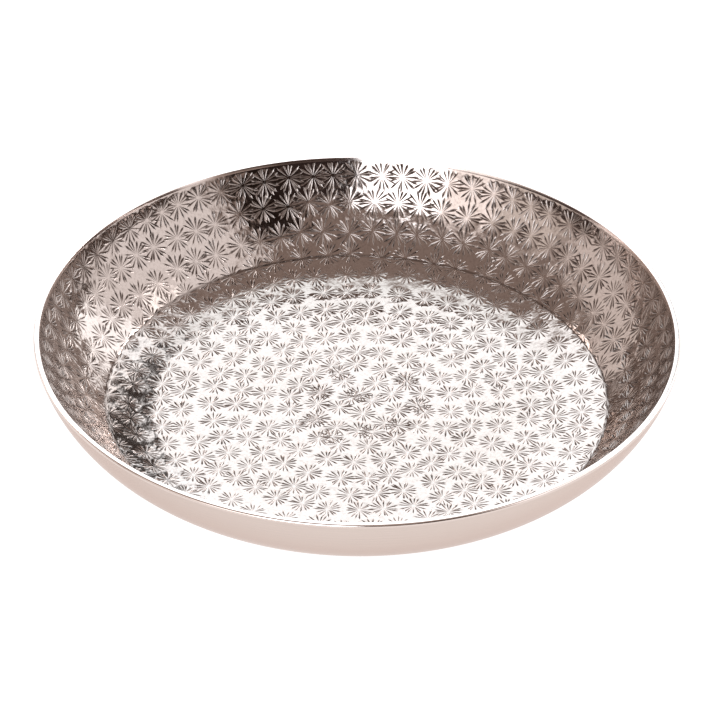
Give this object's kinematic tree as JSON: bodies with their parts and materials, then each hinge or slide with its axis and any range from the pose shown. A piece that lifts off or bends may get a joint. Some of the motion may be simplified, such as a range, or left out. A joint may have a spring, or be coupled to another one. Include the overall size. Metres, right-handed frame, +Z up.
{
  "type": "offering plate",
  "caption": "Round shallow metal plate with a flat floor, raised curved wall and smooth outer skin, star-punched inside, for passing along rows to collect offerings.",
  "frame": {"origin": "centre of the flat base, in the plane that the plate rests on", "axes": "+Z up along the plate's axis of revolution; X and Y are level and equivalent"},
  "size_m": [0.3048, 0.3048, 0.048],
  "materials": {
    "satin_nickel": "spun and polished, slightly satin, warm nickel",
    "punched_nickel": "polished warm nickel, hand punched with overlapping stars, dark in the punch cuts",
    "polished_nickel": "bright polished warm nickel"
  },
  "bodies": {
    "root": {"outer_shell": "satin_nickel", "inner_bowl": "punched_nickel", "rim_bead": "polished_nickel", "vent_plug": "polished_nickel"}
  },
  "joints": []
}
